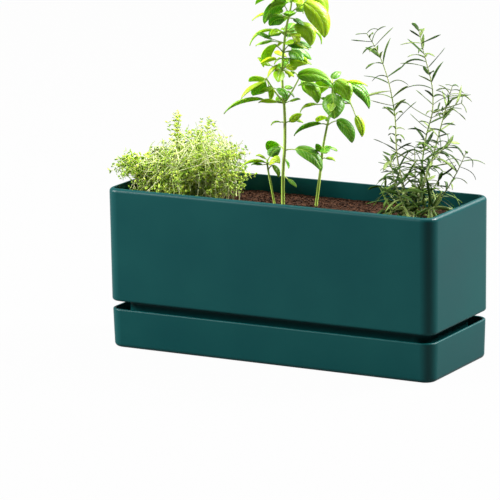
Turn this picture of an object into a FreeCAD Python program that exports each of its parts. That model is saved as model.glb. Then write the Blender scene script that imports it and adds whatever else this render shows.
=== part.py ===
import FreeCAD, Part
import math
import os
from FreeCAD import Vector

# An indoor herb planter: a deep moulded saucer, a pot whose narrower foot stands in it,
# potting soil, and three herbs (thyme, basil and rosemary) on their root balls.
# X runs along the planter, the front is towards -Y, and the origin is the middle of
# the saucer's underside. All lengths are in millimetres.

# Planter as a whole
planter_length = 406.0
planter_width = 148.0
planter_height = 182.0
corner_radius = 15.0

# Saucer
saucer_height = 44.5
saucer_wall = 3.6
saucer_floor = 4.0
saucer_set_back = 1.0
saucer_draft = 1.4
saucer_edge_rounding = 5.0
saucer_inner_rounding = 3.0
saucer_rim_share = 0.45

# Pot
pot_wall = 5.4
pot_floor = 4.0
pot_rim_outer_share = 0.8
pot_rim_inner_share = 0.15
pot_draft = 0.8
pot_edge_rounding = 3.0
rim_gap = 8.8
ledge_rounding = 3.0
foot_inset = 15.0
foot_draft = 1.5
foot_edge_rounding = 3.0
foot_inner_rounding = 4.0
nub_radius = 7.0
nub_height = 3.0
nub_columns = 3
nub_edge_distance = 14.0
drain_radius = 4.0
drain_columns = 6
drain_rows = 2
drain_edge_distance = 30.0
drain_row_distance = 56.0

# Soil and the root balls in it
soil_depth_below_rim = 20.0
soil_clearance = 0.3
ball_height = 62.0
ball_draft = 7.0
thyme_ball_radius = 42.0
basil_ball_radius = 46.0
rosemary_ball_radius = 38.0

# Where the herbs stand: from the pot's left end, left of its middle, and from its right end
thyme_end_distance = 75.0
basil_off_middle = 17.0
rosemary_end_distance = 63.0
herb_turn = 28.0

# Thyme
thyme_height = 104.0
thyme_spread_length = 216.0
thyme_spread_width = 116.0
thyme_crown_length = 76.0
thyme_crown_width = 66.0
thyme_crown_height = 5.0
thyme_count = 42
thyme_pairs = 6
thyme_leaf = 5.5
thyme_stem_radius = 0.7
thyme_stem_points = 9
thyme_root_share = 0.42
thyme_root_rise_share = 0.6
thyme_root_fall_share = 0.4
thyme_bend_shares = (0.25, 0.85)
thyme_middle_height_share = 0.9
thyme_edge_fall_share = 0.5
thyme_height_wave_share = 0.12
thyme_reach_wave_share = 0.08

# Basil
basil_height = 280.0
basil_stem_radius = 2.1
basil_side_stem_radius = 1.8
basil_sprout_radius = 1.3
basil_branch_radius = 0.9
basil_stalk_radius = 0.6
basil_leaf_thickness = 1.2
basil_stem_sides = 6
basil_branch_sides = 5
basil_stalk_sides = 4

# Rosemary
rosemary_height = 216.0
rosemary_stem_radius = 1.3
rosemary_tip_radius = 0.5
rosemary_leaf = 22.0
rosemary_leaf_width = 2.6
rosemary_leaf_spacing = 11.0
rosemary_crown_radius = 16.0
rosemary_crown_height = 6.0
rosemary_stem_sides = 4

# Small overrun for cuts that pass right through, and how near an edge is to a level
overrun = 2.0
level_tolerance = 0.002

# Sizes that follow from the ones above
saucer_length = planter_length - 2 * saucer_set_back
saucer_width = planter_width - 2 * saucer_set_back
pot_underside = saucer_height + rim_gap
foot_underside = saucer_floor + nub_height
soil_top = planter_height - soil_depth_below_rim
foot_length = planter_length - 2 * foot_inset
foot_width = planter_width - 2 * foot_inset
thyme_place = thyme_end_distance - planter_length / 2
basil_place = -basil_off_middle
rosemary_place = planter_length / 2 - rosemary_end_distance

# Half width of a basil blade along its midrib: (place, share of the half width)
blade_shares = ((0.10, 0.52), (0.30, 0.94), (0.50, 1.0), (0.72, 0.74), (0.89, 0.34))
blade_fold_share = 0.28

# Leaves of a thyme pair: where they leave their length of stem, and where it ends
thyme_pair_shares = (0.3, 0.75)

# A rosemary leaf along its slant, out from the shoot and back down it: widest part, tip
needle_shares = ((0.42, 0.0, 0.05), (1.0, 0.12, 0.18))

# A herb's woody base: (height, size) of its levels
crown_shares = ((0, 1), (0.55, 0.82))

# Basil stems, each a path of (right, back, up) shares of the basil's height
basil_stem_shares = {
    "main": ((0, 0, 0), (0, 0, 0.14), (0.01, 0, 0.23), (0.012, 0, 0.34), (0.01, 0, 0.42),
             (0, 0, 0.53), (0.01, 0, 0.64), (0.02, 0, 0.72), (0.04, 0, 0.8), (0.05, 0, 0.87),
             (0.05, 0, 0.94)),
    "side": ((0.13, 0, 0), (0.14, 0, 0.07), (0.15, 0, 0.15), (0.16, 0, 0.24), (0.17, 0, 0.29),
             (0.185, 0, 0.36), (0.2, 0, 0.43), (0.2, 0, 0.5)),
    "sprout": ((-0.03, -0.02, 0), (-0.045, -0.02, 0.09), (-0.06, -0.02, 0.17),
               (-0.06, -0.02, 0.2)),
}

# Basil branches: stem, height where they leave it, and their end (right, back, up)
basil_branch_shares = (
    ("main", 0.42, (-0.06, 0.01, 0.52)),
    ("main", 0.42, (0.07, 0.01, 0.52)),
    ("side", 0.42, (0.27, -0.01, 0.42)),
)

# Basil leaves. Each row: stem, where the stalk leaves it (right, back, up), the blade's
# root, its tip, then how high it arches and how wide it is as shares of its length,
# and how many degrees it is rolled towards the front.
basil_leaf_shares = (
    ("main", (0, 0, 0.13), (0.02, -0.02, 0.12), (0.055, -0.04, 0.09), 0.1, 0.3, 20),
    ("main", (0, 0, 0.16), (0.01, 0.02, 0.19), (0.025, 0.04, 0.15), 0.25, 0.5, 40),
    ("main", (0.008, 0, 0.23), (0.05, -0.01, 0.24), (0.155, -0.05, 0.155), 0.2, 0.34, 45),
    ("main", (0.008, 0, 0.23), (-0.01, 0.02, 0.25), (-0.06, 0.06, 0.22), 0.3, 0.5, 50),
    ("main", (0.012, 0, 0.34), (-0.005, 0, 0.345), (-0.045, -0.01, 0.335), 0.25, 0.36, 10),
    ("main", (0.012, 0, 0.34), (0.03, 0, 0.345), (0.08, 0.01, 0.375), 0.1, 0.45, 45),
    ("main", (0.03, 0, 0.345), (0.05, 0.02, 0.35), (0.085, 0.035, 0.335), 0.15, 0.4, 30),
    ("main", (0.01, 0, 0.42), (-0.07, -0.01, 0.44), (-0.23, -0.02, 0.385), 0.16, 0.25, 28),
    ("main", (-0.06, 0.01, 0.52), (-0.06, 0.01, 0.515), (-0.13, 0.05, 0.5), 0.16, 0.4, 30),
    ("main", (-0.06, 0.01, 0.52), (-0.065, -0.01, 0.51), (-0.16, -0.05, 0.45), 0.15, 0.3, 10),
    ("main", (-0.06, 0.01, 0.52), (-0.06, 0.02, 0.5), (-0.115, 0.04, 0.445), 0.1, 0.55, 60),
    ("main", (-0.06, 0.01, 0.52), (-0.05, 0, 0.49), (-0.045, -0.02, 0.435), 0.1, 0.45, 60),
    ("main", (0.005, 0, 0.47), (-0.02, -0.03, 0.485), (0.02, -0.06, 0.44), 0.25, 0.4, 25),
    ("main", (0.07, 0.01, 0.52), (0.06, -0.01, 0.53), (0.19, -0.04, 0.515), 0.14, 0.38, 52),
    ("main", (0.07, 0.01, 0.52), (0.075, 0.03, 0.515), (0.115, 0.06, 0.435), 0.12, 0.5, 50),
    ("main", (0.07, 0.01, 0.52), (0.09, 0, 0.5), (0.14, -0.015, 0.42), 0.2, 0.42, 55),
    ("main", (0.07, 0.01, 0.52), (0.05, 0.01, 0.545), (0.03, 0.04, 0.515), 0.2, 0.4, 20),
    ("main", (0, 0, 0.55), (-0.005, -0.01, 0.575), (-0.055, -0.04, 0.53), 0.25, 0.55, 35),
    ("main", (0, 0, 0.55), (0.03, -0.015, 0.59), (0.105, -0.05, 0.585), 0.14, 0.5, 40),
    ("main", (0, 0, 0.55), (0.06, 0.03, 0.59), (0.12, 0.05, 0.565), 0.15, 0.4, 30),
    ("main", (0.008, 0, 0.62), (-0.015, -0.01, 0.655), (-0.07, -0.03, 0.57), 0.28, 0.5, 50),
    ("main", (0.008, 0, 0.62), (0.025, 0.01, 0.65), (0.12, 0.03, 0.635), 0.14, 0.34, 35),
    ("main", (0.008, 0, 0.62), (0.03, -0.02, 0.63), (0.085, -0.07, 0.6), 0.18, 0.52, 35),
    ("main", (0.008, 0, 0.62), (0.04, 0.04, 0.625), (0.12, 0.08, 0.58), 0.15, 0.4, 45),
    ("main", (0.015, 0, 0.69), (-0.01, 0, 0.71), (-0.125, 0.01, 0.65), 0.25, 0.28, 18),
    ("main", (0.015, 0, 0.69), (0, 0.03, 0.7), (-0.045, 0.07, 0.675), 0.15, 0.5, 40),
    ("main", (0.02, 0, 0.7), (0.05, -0.01, 0.73), (0.115, -0.03, 0.65), 0.3, 0.5, 55),
    ("main", (0.02, 0, 0.7), (0.045, -0.03, 0.7), (0.07, -0.06, 0.67), 0.2, 0.5, 40),
    ("main", (0.02, 0, 0.7), (0.1, 0.01, 0.72), (0.16, 0.02, 0.65), 0.25, 0.2, 20),
    ("main", (0.03, 0, 0.77), (0.02, -0.015, 0.815), (-0.065, -0.05, 0.745), 0.25, 0.62, 50),
    ("main", (0.03, 0, 0.77), (0.015, 0.03, 0.755), (-0.045, 0.06, 0.72), 0.15, 0.5, 50),
    ("main", (0.03, 0, 0.77), (0.09, -0.02, 0.825), (0.17, -0.04, 0.685), 0.18, 0.4, 55),
    ("main", (0.045, 0, 0.84), (0.03, 0.01, 0.86), (-0.1, 0.03, 0.81), 0.2, 0.35, 30),
    ("main", (0.045, 0, 0.84), (0.035, -0.03, 0.85), (-0.05, -0.06, 0.8), 0.18, 0.48, 45),
    ("main", (0.045, 0, 0.84), (0.055, 0.03, 0.845), (0.09, 0.07, 0.765), 0.15, 0.5, 60),
    ("main", (0.045, 0, 0.84), (0.08, 0.02, 0.875), (0.18, 0.03, 0.755), 0.25, 0.38, 45),
    ("main", (0.05, 0, 0.93), (0.035, -0.005, 0.94), (-0.03, -0.02, 0.92), 0.25, 0.55, 30),
    ("main", (0.05, 0, 0.93), (0.065, 0.005, 0.94), (0.13, 0.02, 0.915), 0.25, 0.55, 30),
    ("main", (0.05, 0, 0.93), (0.05, -0.015, 0.95), (0.045, -0.06, 0.96), 0.2, 0.55, 0),
    ("main", (0.05, 0, 0.93), (0.05, 0.015, 0.955), (0.06, 0.06, 0.985), 0.15, 0.5, 0),
    ("side", (0.157, 0, 0.22), (0.15, -0.01, 0.225), (0.132, -0.02, 0.26), 0.1, 0.55, 40),
    ("side", (0.157, 0, 0.22), (0.17, 0.01, 0.225), (0.195, 0.02, 0.24), 0.15, 0.5, 40),
    ("side", (0.155, 0, 0.195), (0.17, -0.01, 0.2), (0.21, -0.02, 0.19), 0.2, 0.35, 20),
    ("side", (0.18, 0, 0.33), (0.155, -0.01, 0.34), (0.045, -0.03, 0.295), 0.18, 0.28, 35),
    ("side", (0.18, 0, 0.33), (0.215, -0.01, 0.355), (0.275, -0.04, 0.265), 0.16, 0.36, 50),
    ("side", (0.195, 0, 0.41), (0.14, 0, 0.415), (0.07, -0.01, 0.385), 0.25, 0.4, 25),
    ("side", (0.2, 0, 0.45), (0.2, -0.03, 0.465), (0.205, -0.085, 0.37), 0.14, 0.62, 0),
    ("side", (0.27, -0.01, 0.42), (0.29, -0.01, 0.37), (0.315, -0.02, 0.285), 0.12, 0.32, 50),
    ("side", (0.2, 0, 0.49), (0.21, -0.01, 0.51), (0.26, -0.04, 0.435), 0.16, 0.55, 50),
    ("side", (0.2, 0, 0.49), (0.26, 0.01, 0.495), (0.345, 0.02, 0.39), 0.2, 0.32, 50),
    ("side", (0.2, 0, 0.49), (0.19, 0.02, 0.515), (0.15, 0.05, 0.445), 0.16, 0.5, 55),
    ("side", (0.2, 0, 0.49), (0.2, 0.03, 0.51), (0.235, 0.08, 0.53), 0.15, 0.4, 20),
    ("side", (0.27, -0.01, 0.42), (0.255, 0.02, 0.455), (0.27, 0.05, 0.405), 0.2, 0.4, 45),
    ("sprout", (-0.06, -0.02, 0.18), (-0.068, -0.025, 0.19), (-0.17, -0.06, 0.172), 0.2, 0.24, 28),
    ("sprout", (-0.06, -0.02, 0.19), (-0.065, -0.01, 0.2), (-0.105, 0.01, 0.21), 0.2, 0.45, 35),
    ("sprout", (-0.06, -0.02, 0.18), (-0.05, -0.025, 0.19), (-0.01, -0.055, 0.19), 0.35, 0.6, 40),
    ("sprout", (-0.06, -0.02, 0.19), (-0.05, -0.015, 0.21), (-0.005, 0.02, 0.24), 0.15, 0.55, 45),
    ("sprout", (-0.055, -0.02, 0.16), (-0.04, -0.03, 0.18), (-0.015, -0.04, 0.13), 0.2, 0.35, 25),
)

# Rosemary shoots: paths of (right, back, up) shares of the rosemary's height
rosemary_shoot_shares = (
    ((0.01, -0.02, 0.01), (-0.03, -0.04, 0.18), (-0.06, -0.04, 0.29), (-0.07, -0.04, 0.4),
     (-0.07, -0.03, 0.51), (-0.08, -0.02, 0.59), (-0.1, -0.01, 0.7), (-0.13, 0, 0.8),
     (-0.17, 0.01, 0.89), (-0.21, 0.02, 0.95)),
    ((0.03, 0.02, 0.01), (0.06, 0.04, 0.23), (0.07, 0.05, 0.34), (0.09, 0.05, 0.45),
     (0.12, 0.05, 0.54), (0.12, 0.04, 0.67), (0.09, 0.03, 0.79), (0.07, 0.02, 0.86),
     (0.05, 0.02, 0.96)),
    ((0.04, -0.01, 0.01), (0.14, -0.03, 0.1), (0.19, -0.04, 0.17), (0.23, -0.04, 0.24),
     (0.26, -0.04, 0.3), (0.28, -0.04, 0.35)),
    ((0.02, -0.03, 0.01), (0.07, -0.08, 0.25), (0.13, -0.11, 0.36), (0.2, -0.13, 0.42)),
    ((0.12, 0.05, 0.54), (0.2, 0.04, 0.57), (0.26, 0.03, 0.59)),
    ((0.02, 0.03, 0.01), (0.12, 0.1, 0.3), (0.16, 0.12, 0.45), (0.19, 0.13, 0.56),
     (0.22, 0.13, 0.66)),
    ((-0.01, -0.03, 0.01), (-0.05, -0.1, 0.14), (-0.09, -0.13, 0.25), (-0.1, -0.14, 0.36)),
    ((0.02, 0, 0.01), (0.03, 0, 0.2), (0.025, 0.01, 0.37)),
    ((0.03, 0.03, 0.01), (0.13, 0.1, 0.14), (0.17, 0.14, 0.22)),
    ((-0.02, 0.03, 0.01), (-0.08, 0.09, 0.1), (-0.14, 0.12, 0.15)),
    ((-0.02, -0.02, 0.01), (-0.06, -0.09, 0.07), (-0.13, -0.12, 0.09)),
    ((0.03, -0.03, 0.01), (0.09, -0.11, 0.08), (0.12, -0.16, 0.1)),
    ((0, 0.03, 0.01), (-0.03, 0.1, 0.17), (-0.08, 0.15, 0.27)),
)


def rounded_outline(length, width, radius, height):
    """Closed wire of a rectangle with rounded corners, level at the given height."""
    half_x = length / 2
    half_y = width / 2
    corners = ((1, 1), (-1, 1), (-1, -1), (1, -1))
    starts = (0, 90, 180, 270)
    points = []
    for (sign_x, sign_y), start in zip(corners, starts):
        centre = Vector(sign_x * (half_x - radius), sign_y * (half_y - radius), height)
        for angle in (start, start + 45, start + 90):
            turn = math.radians(angle)
            points.append(centre + Vector(math.cos(turn), math.sin(turn), 0) * radius)
    edges = []
    for k in range(4):
        a, b, c = points[3 * k:3 * k + 3]
        following = points[(3 * k + 3) % 12]
        edges.append(Part.Arc(a, b, c).toShape())
        edges.append(Part.LineSegment(c, following).toShape())
    return Part.Wire(edges)


def rounded_block(length, width, radius, bottom, top, draft):
    """Block with rounded corners, drawn in by the draft on each side at its bottom."""
    lower = rounded_outline(length - 2 * draft, width - 2 * draft, radius - draft, bottom)
    upper = rounded_outline(length, width, radius, top)
    return Part.makeLoft([lower, upper], True, True)


def level_edges(shape, height):
    """Edges that lie level at the given height."""
    return [edge for edge in shape.Edges
            if abs(edge.BoundBox.ZMin - height) < level_tolerance
            and abs(edge.BoundBox.ZMax - height) < level_tolerance]


def round_level_edges(shape, height, radius):
    return shape.makeFillet(radius, level_edges(shape, height))


def even_places(count, first, last):
    if count == 1:
        return [(first + last) / 2]
    return [first + (last - first) * k / (count - 1) for k in range(count)]


def make_saucer():
    """Deep tray with a slight draft, a soft lower edge and a rounded rim."""
    body = rounded_block(saucer_length, saucer_width, corner_radius, 0, saucer_height, saucer_draft)
    body = round_level_edges(body, 0, saucer_edge_rounding)
    hollow = rounded_block(saucer_length - 2 * saucer_wall, saucer_width - 2 * saucer_wall,
                           corner_radius - saucer_wall, saucer_floor, saucer_height, saucer_draft)
    hollow = round_level_edges(hollow, saucer_floor, saucer_inner_rounding)
    body = body.cut(hollow)
    return round_level_edges(body, saucer_height, saucer_rim_share * saucer_wall)


def pot_hollow(gap):
    """The pot's inside, drawn in all round by a gap: a wide bay above a narrower foot bay."""
    bay = rounded_block(planter_length - 2 * (pot_wall + gap), planter_width - 2 * (pot_wall + gap),
                        corner_radius - pot_wall - gap, pot_underside + pot_floor + gap,
                        planter_height, pot_draft)
    bay = round_level_edges(bay, pot_underside + pot_floor + gap, ledge_rounding - gap)
    inset = pot_wall + gap
    foot = rounded_block(foot_length - 2 * inset, foot_width - 2 * inset, corner_radius - inset,
                         foot_underside + pot_floor + gap, pot_underside + pot_floor + ledge_rounding,
                         foot_draft)
    foot = round_level_edges(foot, foot_underside + pot_floor + gap, foot_inner_rounding - gap)
    return bay.fuse(foot)


def round_pot_rim(body, hollow):
    """Full rounding on the rim's outer edge, and a small one on its inner edge."""
    for inside, share in ((False, pot_rim_outer_share), (True, pot_rim_inner_share)):
        edges = [edge for edge in level_edges(body, planter_height)
                 if (hollow.distToShape(edge)[0] < level_tolerance) == inside]
        body = body.makeFillet(share * pot_wall, edges)
    return body


def drain_places():
    xs = even_places(drain_columns, drain_edge_distance - foot_length / 2,
                     foot_length / 2 - drain_edge_distance)
    ys = even_places(drain_rows, -drain_row_distance / 2, drain_row_distance / 2)
    return [(x, y) for x in xs for y in ys]


def nub_places():
    xs = even_places(nub_columns, nub_edge_distance - foot_length / 2,
                     foot_length / 2 - nub_edge_distance)
    ys = (nub_edge_distance - foot_width / 2, foot_width / 2 - nub_edge_distance)
    return [(x, y) for x in xs for y in ys]


def make_pot():
    """Open box with a rolled rim over a narrower foot, drained through the foot's floor."""
    body = rounded_block(planter_length, planter_width, corner_radius,
                         pot_underside, planter_height, pot_draft)
    body = round_level_edges(body, pot_underside, pot_edge_rounding)
    foot = rounded_block(foot_length, foot_width, corner_radius, foot_underside,
                         pot_underside + pot_floor, foot_draft)
    foot = round_level_edges(foot, foot_underside, foot_edge_rounding)
    hollow = pot_hollow(0)
    body = round_pot_rim(body.fuse(foot).cut(hollow), hollow)
    for x, y in nub_places():
        body = body.fuse(Part.makeCylinder(nub_radius, nub_height + pot_floor / 2,
                                           Vector(x, y, saucer_floor)))
    for x, y in drain_places():
        body = body.cut(Part.makeCylinder(drain_radius, pot_floor + 2 * overrun,
                                          Vector(x, y, foot_underside - overrun)))
    return body


def root_ball(place, radius, gap):
    """Tapered plug of roots and soil, its top level with the soil; grown by the gap."""
    return Part.makeCone(radius - ball_draft + gap, radius + gap, ball_height + gap,
                         Vector(place, 0, soil_top - ball_height - gap))


def make_soil():
    """Potting soil: fills the pot up to the soil line around the three root balls."""
    room = pot_hollow(soil_clearance)
    below = Part.makeBox(planter_length, planter_width, soil_top,
                         Vector(-planter_length / 2, -planter_width / 2, 0))
    soil = room.common(below)
    for place, radius in ((thyme_place, thyme_ball_radius), (basil_place, basil_ball_radius),
                          (rosemary_place, rosemary_ball_radius)):
        soil = soil.cut(root_ball(place, radius, soil_clearance))
    return soil


def ring_solid(start, rings, end):
    """Faceted solid through rings of points, closed by a point at each end."""
    count = len(rings[0])
    corners = []
    for k in range(count):
        following = (k + 1) % count
        corners.append((start, rings[0][following], rings[0][k]))
        corners.append((end, rings[-1][k], rings[-1][following]))
        for a, b in zip(rings, rings[1:]):
            corners.append((a[k], a[following], b[k]))
            corners.append((a[following], b[following], b[k]))
    faces = [Part.Face(Part.makePolygon([p, q, r, p])) for p, q, r in corners]
    return Part.Solid(Part.Shell(faces))


def herb_point(place, height, shares):
    """Point of a herb from its shares of height: to the right, to the back and up."""
    right, back, up = shares
    turn = math.radians(herb_turn)
    x = right * math.cos(turn) - back * math.sin(turn)
    y = right * math.sin(turn) + back * math.cos(turn)
    return Vector(place + x * height, y * height, soil_top + up * height)


def path_directions(path):
    ways = []
    for k in range(len(path)):
        a = path[max(k - 1, 0)]
        b = path[min(k + 1, len(path) - 1)]
        ways.append(Vector(b - a).normalize())
    return ways


def side_of(way):
    """A direction square to a stem, the same for all stems that rise alike."""
    return way.cross(Vector(0.2, 1, 0.1)).normalize()


def ring_about(centre, way, radius, sides):
    side = side_of(way)
    other = way.cross(side).normalize()
    ring = []
    for k in range(sides):
        turn = math.radians(360 * k / sides)
        ring.append(centre + side * (radius * math.cos(turn)) + other * (radius * math.sin(turn)))
    return ring


def stalk(path, thick, thin, sides, from_ground):
    """Tapering stem along a path; one that starts on the soil has a level foot."""
    ways = path_directions(path)
    if from_ground:
        ways[0] = Vector(0, 0, 1)
    rings = []
    for k, (centre, way) in enumerate(zip(path, ways)):
        radius = thick + (thin - thick) * k / (len(path) - 1)
        rings.append(ring_about(centre, way, radius, sides))
    return ring_solid(path[0], rings, path[-1])


def basil_blade(root, tip, arch, wide, roll):
    """Pointed, arched blade of a basil leaf, folded a little along its midrib."""
    chord = tip - root
    length = chord.Length
    forward = Vector(chord).normalize()
    across = forward.cross(Vector(0, 0, 1)).normalize()
    above = across.cross(forward).normalize()
    turn = FreeCAD.Rotation(forward, roll)
    side = turn.multVec(across)
    face = turn.multVec(above)
    rings = []
    for place, breadth in blade_shares:
        centre = root + chord * place + above * (4 * arch * length * place * (1 - place))
        half = breadth * wide * length / 2
        drop = face * (half * blade_fold_share)
        rise = face * (basil_leaf_thickness / 2)
        rings.append([centre + side * half - drop, centre + rise,
                      centre - side * half - drop, centre - rise])
    return ring_solid(root, rings, tip)


def make_basil(stem, radius, leaf_rows):
    """One basil plant: its stem, branches and leaves grown together."""
    paths = {name: [herb_point(basil_place, basil_height, row) for row in rows]
             for name, rows in basil_stem_shares.items()}
    pieces = []
    for name, height, end in basil_branch_shares:
        if name == stem:
            leave = min(paths[name], key=lambda point: abs(point.z - soil_top - height * basil_height))
            pieces.append(stalk([leave, herb_point(basil_place, basil_height, end)],
                                basil_branch_radius, basil_branch_radius,
                                basil_branch_sides, False))
    for name, leave, root, tip, arch, wide, roll in leaf_rows:
        if name == stem:
            leave, root, tip = [herb_point(basil_place, basil_height, row)
                                for row in (leave, root, tip)]
            beyond = Vector(root - leave).normalize() * basil_stalk_radius
            pieces.append(stalk([leave, root + beyond], basil_stalk_radius,
                                basil_stalk_radius, basil_stalk_sides, False))
            pieces.append(basil_blade(root, tip, arch, wide, roll))
    body = stalk(paths[stem], radius, basil_branch_radius, basil_stem_sides, True)
    return body.multiFuse(pieces)


def crown(place, length, width, height):
    """Low woody base that a herb's shoots spring from, flat on its root ball."""
    sides = 12
    rings = []
    for level, size in crown_shares:
        ring = []
        for k in range(sides):
            turn = math.radians(360 * k / sides)
            ring.append(Vector(place + size * length / 2 * math.cos(turn),
                               size * width / 2 * math.sin(turn), soil_top + level * height))
        rings.append(ring)
    return ring_solid(Vector(place, 0, soil_top), rings, Vector(place, 0, soil_top + height))


def curve_points(start, middle, end, count):
    points = []
    for k in range(count):
        t = k / (count - 1)
        points.append(start * (1 - t) ** 2 + middle * (2 * t * (1 - t)) + end * t ** 2)
    return points


def leafy_shoot(path, pairs, leaf, stem_radius):
    """Shoot with crosswise pairs of small pointed leaves, as one faceted solid."""
    ways = path_directions(path)
    rings = []
    for pair in range(pairs):
        for level in (0, 1):
            along = (pair + thyme_pair_shares[level]) / pairs * (len(path) - 1)
            k = min(int(along), len(path) - 2)
            centre = path[k] + (path[k + 1] - path[k]) * (along - k)
            ring = ring_about(centre, ways[k], stem_radius, 4)
            if level == 1:
                for corner in (pair % 2, pair % 2 + 2):
                    out = (ring[corner] - centre) * (leaf / stem_radius)
                    ring[corner] = centre + out + ways[k] * (leaf / 2)
            rings.append(ring)
    return ring_solid(path[0], rings, path[-1])


def make_thyme():
    """Mound of thin leafy shoots that fan out from a woody crown, spread by the golden angle."""
    shoots = []
    for k in range(thyme_count):
        ring = math.sqrt((k + 0.5) / thyme_count)
        turn = math.radians(137.5 * k)
        swell = (thyme_middle_height_share - thyme_edge_fall_share * ring ** 2
                 + thyme_height_wave_share * math.sin(2.4 * k))
        reach = ring * (1 + thyme_reach_wave_share * math.sin(1.7 * k))
        root = thyme_root_share * ring
        rise = thyme_root_rise_share - thyme_root_fall_share * ring
        start = Vector(thyme_place + thyme_crown_length * root * math.cos(turn),
                       thyme_crown_width * root * math.sin(turn),
                       soil_top + thyme_crown_height * rise)
        end = Vector(thyme_place + thyme_spread_length / 2 * reach * math.cos(turn),
                     thyme_spread_width / 2 * reach * math.sin(turn),
                     soil_top + thyme_height * swell)
        across, up = thyme_bend_shares
        middle = Vector(start.x + across * (end.x - start.x), start.y + across * (end.y - start.y),
                        start.z + up * (end.z - start.z))
        shoots.append(leafy_shoot(curve_points(start, middle, end, thyme_stem_points), thyme_pairs,
                                  thyme_leaf, thyme_stem_radius))
    base = crown(thyme_place, thyme_crown_length, thyme_crown_width, thyme_crown_height)
    return base.multiFuse(shoots)


def needle_leaf(root, way, out):
    """Narrow leaf that leaves the shoot at a slant and curves outwards."""
    rise = Vector(way + out).normalize()
    side = rise.cross(out).normalize()
    half = rosemary_leaf_width / 2
    centre, tip = [root + (rise * along + out * outward - way * back) * rosemary_leaf
                   for along, outward, back in needle_shares]
    middle_ring = [centre + side * half, centre - side * half, centre + way * half]
    return ring_solid(root - rise * half, [middle_ring], tip)


def make_rosemary():
    """Upright and leaning shoots with pairs of narrow leaves, sprung from one crown."""
    pieces = []
    for number, rows in enumerate(rosemary_shoot_shares):
        path = [herb_point(rosemary_place, rosemary_height, row) for row in rows]
        pieces.append(stalk(path, rosemary_stem_radius, rosemary_tip_radius,
                            rosemary_stem_sides, False))
        ways = path_directions(path)
        length = sum((b - a).Length for a, b in zip(path, path[1:]))
        pairs = int(length / rosemary_leaf_spacing)
        for pair in range(1, pairs + 1):
            along = pair / pairs * (len(path) - 1)
            k = min(int(along), len(path) - 2)
            root = path[k] + (path[k + 1] - path[k]) * (along - k)
            turn = FreeCAD.Rotation(ways[k], 90 * pair + 37 * number)
            out = turn.multVec(side_of(ways[k]))
            pieces.append(needle_leaf(root, ways[k], out))
            pieces.append(needle_leaf(root, ways[k], out * -1))
    base = crown(rosemary_place, 2 * rosemary_crown_radius, 2 * rosemary_crown_radius,
                 rosemary_crown_height)
    return base.multiFuse(pieces)


def save(name, shape):
    if shape.ShapeType == "Compound" and len(shape.Solids) == 1:
        shape = shape.Solids[0]
    shape.exportStep("parts/" + name + ".step")
    print(name, "solids", len(shape.Solids), "faces", len(shape.Faces),
          "volume", round(shape.Volume), "valid", shape.isValid())


os.makedirs("parts", exist_ok=True)
save("saucer", make_saucer())
save("pot", make_pot())
save("potting_soil", make_soil())
save("thyme_root_ball", root_ball(thyme_place, thyme_ball_radius, 0))
save("basil_root_ball", root_ball(basil_place, basil_ball_radius, 0))
save("rosemary_root_ball", root_ball(rosemary_place, rosemary_ball_radius, 0))
save("thyme", make_thyme())
save("basil_main_plant", make_basil("main", basil_stem_radius, basil_leaf_shares))
save("basil_side_plant", make_basil("side", basil_side_stem_radius, basil_leaf_shares))
save("basil_sprout", make_basil("sprout", basil_sprout_radius, basil_leaf_shares))
save("rosemary", make_rosemary())
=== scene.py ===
import bpy
import math
import random
import numpy as np
from mathutils import Matrix, Vector, noise


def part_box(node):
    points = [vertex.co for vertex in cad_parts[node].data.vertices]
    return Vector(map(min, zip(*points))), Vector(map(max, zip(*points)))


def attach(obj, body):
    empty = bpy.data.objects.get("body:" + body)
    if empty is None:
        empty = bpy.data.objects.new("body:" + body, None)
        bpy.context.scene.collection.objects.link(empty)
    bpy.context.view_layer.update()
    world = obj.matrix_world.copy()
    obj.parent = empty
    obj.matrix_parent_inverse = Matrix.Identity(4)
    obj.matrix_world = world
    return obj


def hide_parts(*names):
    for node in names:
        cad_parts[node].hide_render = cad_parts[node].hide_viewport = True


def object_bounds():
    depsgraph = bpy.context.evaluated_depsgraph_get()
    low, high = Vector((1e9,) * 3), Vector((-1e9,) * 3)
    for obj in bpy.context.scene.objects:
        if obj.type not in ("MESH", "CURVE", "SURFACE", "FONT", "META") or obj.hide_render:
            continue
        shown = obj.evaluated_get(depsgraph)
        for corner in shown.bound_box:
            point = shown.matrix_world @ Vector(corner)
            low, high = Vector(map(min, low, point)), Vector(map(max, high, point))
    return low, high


# The looks of an indoor herb planter: satin teal plastic, brown potting soil,
# and thyme, basil and rosemary growing in it. Lengths are in metres unless a name says mm,
# and a pair of numbers is mostly the least and the most of a random draw.

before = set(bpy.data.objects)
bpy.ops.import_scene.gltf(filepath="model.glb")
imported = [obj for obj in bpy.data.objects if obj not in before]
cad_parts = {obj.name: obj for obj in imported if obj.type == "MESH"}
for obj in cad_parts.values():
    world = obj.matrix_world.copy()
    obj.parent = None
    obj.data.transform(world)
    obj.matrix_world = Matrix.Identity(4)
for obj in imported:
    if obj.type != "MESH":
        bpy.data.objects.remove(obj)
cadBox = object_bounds()
print("frame loaded")

mm = 0.001
fullTurn = 6.28          # near enough for random angles
nudge = 1e-6             # added so that a leaf's side is never exactly zero
speck = 1e-9             # and the same for a curve's direction
anyWay = (0.2, 1, 0.1)   # a direction that no stem runs along
unitSkin = 0.01          # thickness of a leaf shape that is 1 long and 1 wide
unitWeld = 0.002         # points of such a shape closer than this become one


# Materials: one small function for nodes, one for colours

def hexToLinear(code):
    values = [int(code[k:k + 2], 16) / 255 for k in (1, 3, 5)]
    return [v / 12.92 if v <= 0.04045 else ((v + 0.055) / 1.055) ** 2.4 for v in values] + [1]


def setStops(elements, stops):
    # a colour ramp's stops, each a place along it and a colour
    while len(elements) < len(stops):
        elements.new(0.5)
    for element, (position, code) in zip(elements, stops):
        element.position = position
        element.color = hexToLinear(code)


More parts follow.
